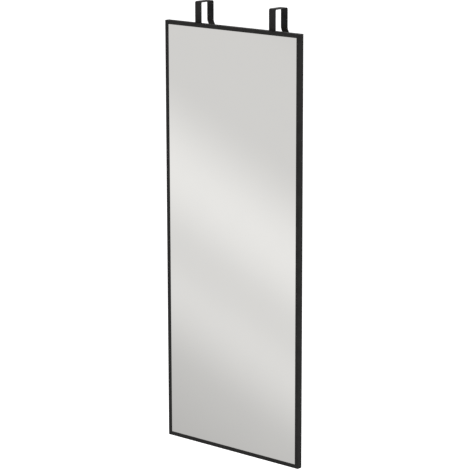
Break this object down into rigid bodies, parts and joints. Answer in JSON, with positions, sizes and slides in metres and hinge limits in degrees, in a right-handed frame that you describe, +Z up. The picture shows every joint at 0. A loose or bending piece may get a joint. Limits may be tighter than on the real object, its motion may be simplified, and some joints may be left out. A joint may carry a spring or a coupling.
{
  "type": "over-the-door mirror",
  "caption": "Tall flat mirror in a thin black frame, hung on a door's top edge by strap hooks that slide along the frame's rear channel when their clamp screws are slack.",
  "frame": {"origin": "midway between the two hooks, where the door's front face meets its top edge: the underside of the hooks' top pads is at z = 0 and the back of their front legs at y = 0", "axes": "+X to the right seen from the front, +Y into the door, +Z up; the mirror faces -Y"},
  "size_m": [0.4, 0.064, 1.048],
  "materials": {
    "frame_coat": "satin",
    "hook_coat": "satin",
    "silvered_glass": "polished",
    "foam": "matte",
    "hardboard": "matte",
    "zinc_steel": "satin",
    "screw_steel": "satin",
    "rubber": "matte"
  },
  "bodies": {
    "frame": {"top_rail": "frame_coat", "bottom_rail": "frame_coat", "left_stile": "frame_coat", "right_stile": "frame_coat", "mirror_glass": "silvered_glass", "foam_sheet": "foam", "backing_board": "hardboard", "corner_key_top_left": "zinc_steel", "corner_key_top_right": "zinc_steel", "corner_key_bottom_left": "zinc_steel", "corner_key_bottom_right": "zinc_steel", "corner_screws_top_left": "screw_steel", "corner_screws_top_right": "screw_steel", "corner_screws_bottom_left": "screw_steel", "corner_screws_bottom_right": "screw_steel", "door_bumper_left": "rubber", "door_bumper_right": "rubber"},
    "left_hook": {"hook_left": "hook_coat", "nut_plate_left": "zinc_steel", "hook_screws_left": "screw_steel", "top_pad_left": "rubber", "rear_pad_left": "rubber"},
    "right_hook": {"hook_right": "hook_coat", "nut_plate_right": "zinc_steel", "hook_screws_right": "screw_steel", "top_pad_right": "rubber", "rear_pad_right": "rubber"}
  },
  "joints": [
    {"name": "left_hook_slide", "type": "slide", "parent": "frame", "child": "left_hook", "axis": [-1, 0, 0], "range_m": [-0.094, 0.041]},
    {"name": "right_hook_slide", "type": "slide", "parent": "frame", "child": "right_hook", "axis": [1, 0, 0], "range_m": [-0.094, 0.041]}
  ]
}
